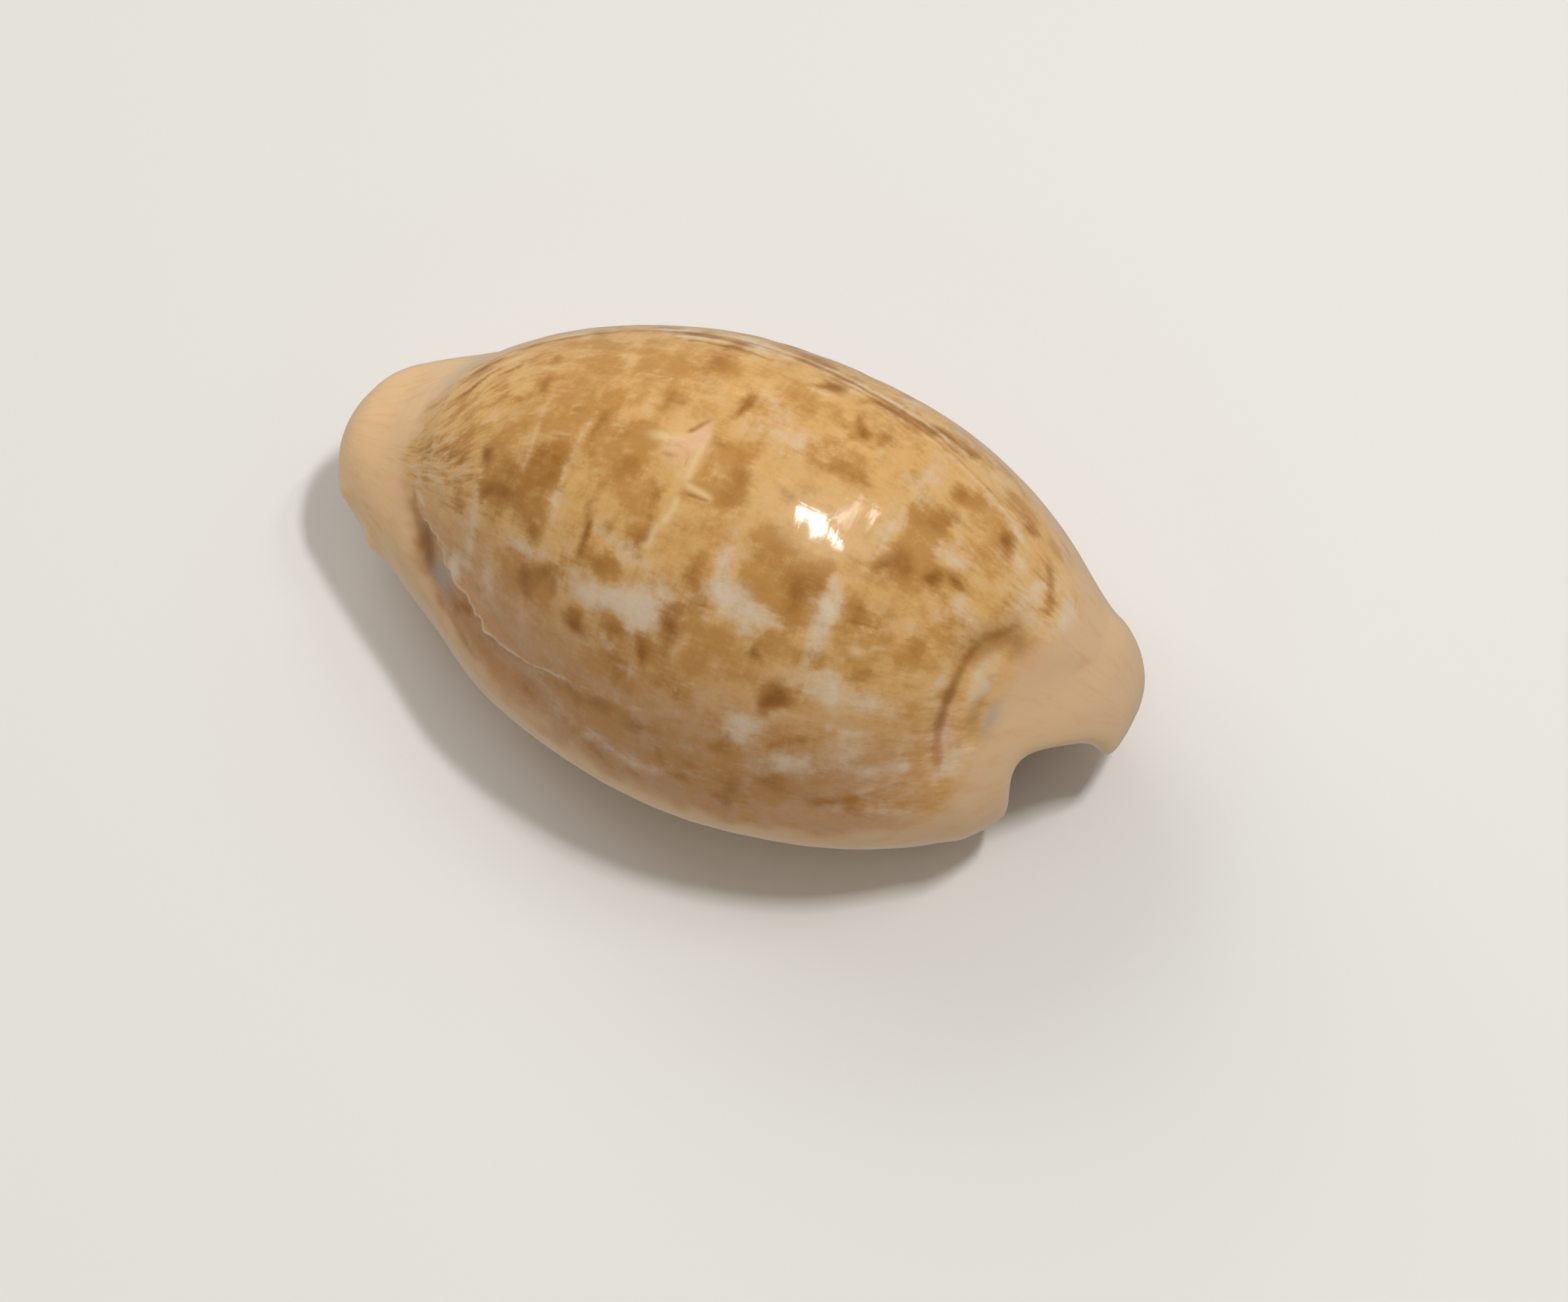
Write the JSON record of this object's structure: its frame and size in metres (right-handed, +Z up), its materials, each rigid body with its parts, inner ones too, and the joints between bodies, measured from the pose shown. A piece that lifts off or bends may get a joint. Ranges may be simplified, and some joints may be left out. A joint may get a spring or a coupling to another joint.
{
  "type": "cowrie shell",
  "caption": "Cowrie shell in one piece: egg-shaped domed body, thick callus rim, rear notch, sunken spire groove and a toothed slit along its base.",
  "frame": {"origin": "under the middle of the bounding box, on the surface that the shell rests on", "axes": "+X along the shell towards the spire (rear) end, +Y towards the outer lip, +Z up through the back"},
  "size_m": [0.0334, 0.0195, 0.0157],
  "materials": {
    "shell": "natural polished shell, golden tan with brown blotches on the back and beige callus round the margin and base"
  },
  "bodies": {
    "root": {"shell": "shell"}
  },
  "joints": []
}
